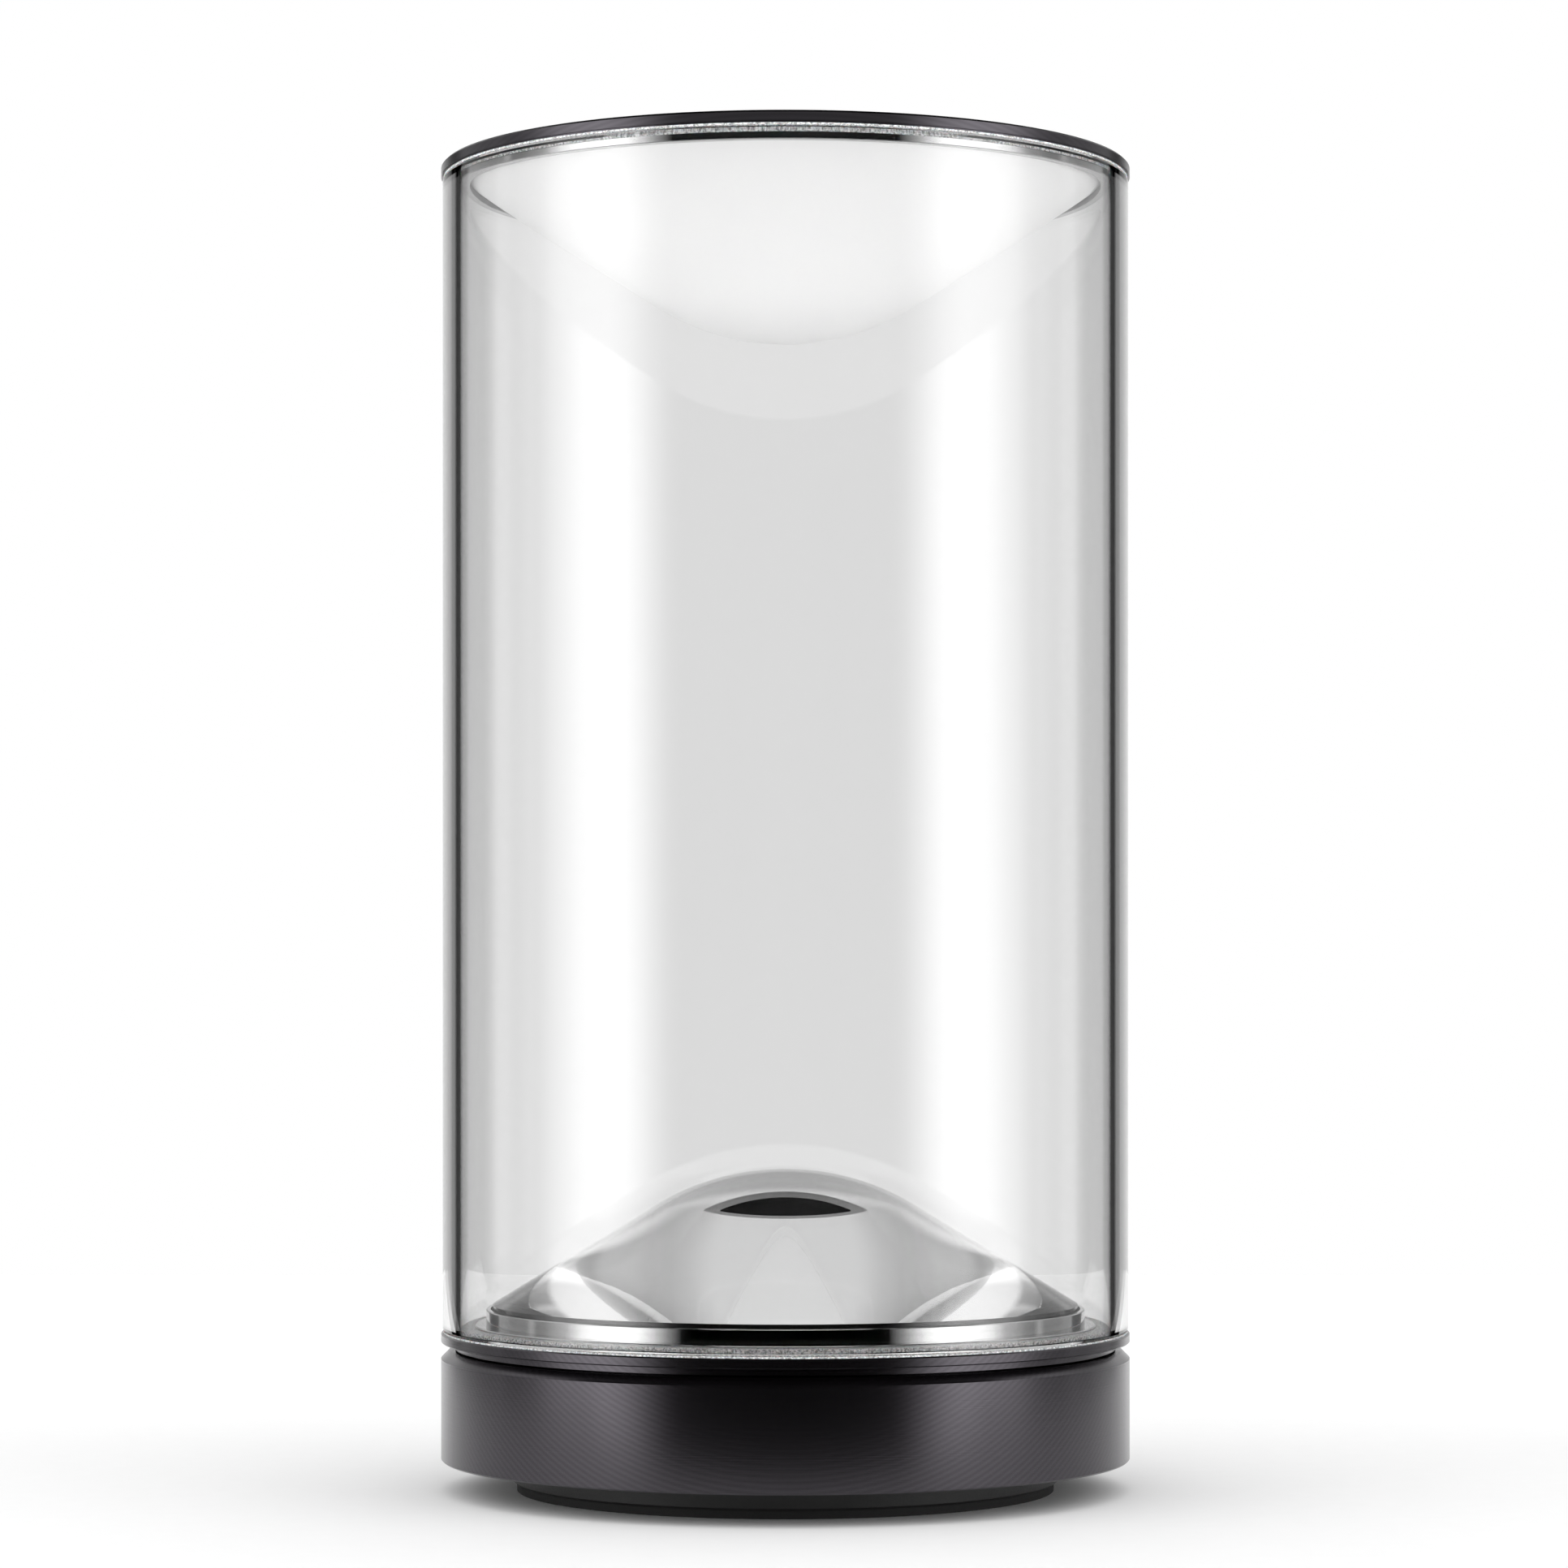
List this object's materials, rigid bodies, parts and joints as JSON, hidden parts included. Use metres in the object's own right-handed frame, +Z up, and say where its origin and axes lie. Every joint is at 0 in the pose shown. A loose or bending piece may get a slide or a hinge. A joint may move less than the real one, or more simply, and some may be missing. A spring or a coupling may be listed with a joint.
{
  "type": "cordless table lantern",
  "caption": "Cordless table lantern: clear glass cylinder with a clear lens below and a white cone above, thin black cap, black base that the head twists on to dim.",
  "frame": {"origin": "centre of the foot's bottom face, on the table", "axes": "+Z up along the lantern's axis, front towards -Y, charging inlet towards +Y"},
  "size_m": [0.12, 0.12, 0.23],
  "materials": {
    "rubber_black": "matt",
    "plastic_black": "fine moulded texture",
    "black_anodised": "turned and black anodised",
    "white_enamel": "spun aluminium, satin white enamel",
    "clear_lens": "cast acrylic, polished",
    "lens_black": "matt black",
    "bright_ring": "turned and polished",
    "clear_glass": "clear borosilicate",
    "frosted": "frosted translucent silicone",
    "acetal_white": "turned acetal",
    "bronze": "sintered bronze, oiled",
    "steel": "zinc plated",
    "spring_steel": "blackened spring steel",
    "bare_aluminium": "as turned",
    "magnet_nickel": "nickel plated",
    "pcb_green": "solder mask",
    "pcb_white": "white solder mask",
    "led_phosphor": "phosphor gel",
    "cell_wrap": "foil pouch",
    "tray_grey": "moulded",
    "chip_black": "moulded epoxy",
    "connector_white": "moulded nylon",
    "wire_sheath": "soft PVC"
  },
  "bodies": {
    "base": {"foot_pad": "rubber_black", "bottom_cover": "plastic_black", "cover_screws": "steel", "base_shell": "black_anodised", "glide_ring": "acetal_white", "spindle_bush": "bronze", "battery_tray": "tray_grey", "battery_cells": "cell_wrap", "control_board": "pcb_green", "board_screws": "steel", "usb_socket": "steel", "hall_sensor": "chip_black", "driver_chip": "chip_black", "charge_chip": "chip_black", "power_inductor": "chip_black", "battery_connector": "connector_white"},
    "head": {"seat_flange": "black_anodised", "stop_pin": "steel", "spindle": "bare_aluminium", "thrust_washer": "spring_steel", "snap_ring": "spring_steel", "encoder_magnet": "magnet_nickel", "light_board": "pcb_white", "light_screws": "steel", "light_source": "led_phosphor", "light_lead": "wire_sheath", "glass_bead": "frosted", "lens_bezel": "bright_ring", "lens_sleeve": "lens_black", "lens": "clear_lens", "lower_gasket": "frosted", "glass_tube": "clear_glass", "upper_gasket": "frosted", "bond_ring": "frosted", "spigot_ring": "bright_ring", "reflector_cone": "white_enamel", "cone_stud": "steel", "top_cap": "black_anodised"}
  },
  "joints": [
    {"name": "dimmer_twist", "type": "hinge", "parent": "base", "child": "head", "pos_m": [0, 0, 0.0243], "axis": [0, 0, 1], "range_deg": [0, 270]}
  ]
}
